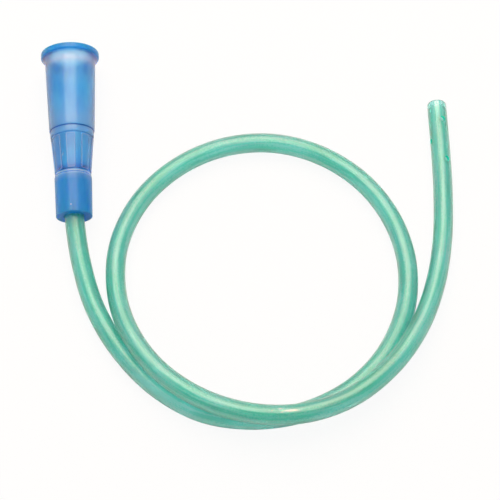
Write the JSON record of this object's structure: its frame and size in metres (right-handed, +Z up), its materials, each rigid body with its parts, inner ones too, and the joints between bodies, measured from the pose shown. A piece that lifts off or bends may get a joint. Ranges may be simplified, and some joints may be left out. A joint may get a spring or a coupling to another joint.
{
  "type": "nasal oxygen catheter",
  "caption": "Soft hollow catheter tube in a single loop, with a ribbed funnel connector bonded to one end and an open rounded tip with side eyes at the other.",
  "frame": {"origin": "on the resting surface, under the middle of the connector's bounding box", "axes": "+Z up from the resting surface; +Y along the connector towards its mouth, the connector's own axis rising 3.8 degrees towards the mouth; +X towards the loop"},
  "size_m": [0.0993, 0.0992, 0.0143],
  "materials": {
    "blue_soft_vinyl": "translucent blue soft vinyl, satin from the mould",
    "green_soft_vinyl": "translucent green soft vinyl tube, frosted outside"
  },
  "bodies": {
    "root": {"funnel_connector": "blue_soft_vinyl", "catheter_tube": "green_soft_vinyl"}
  },
  "joints": []
}
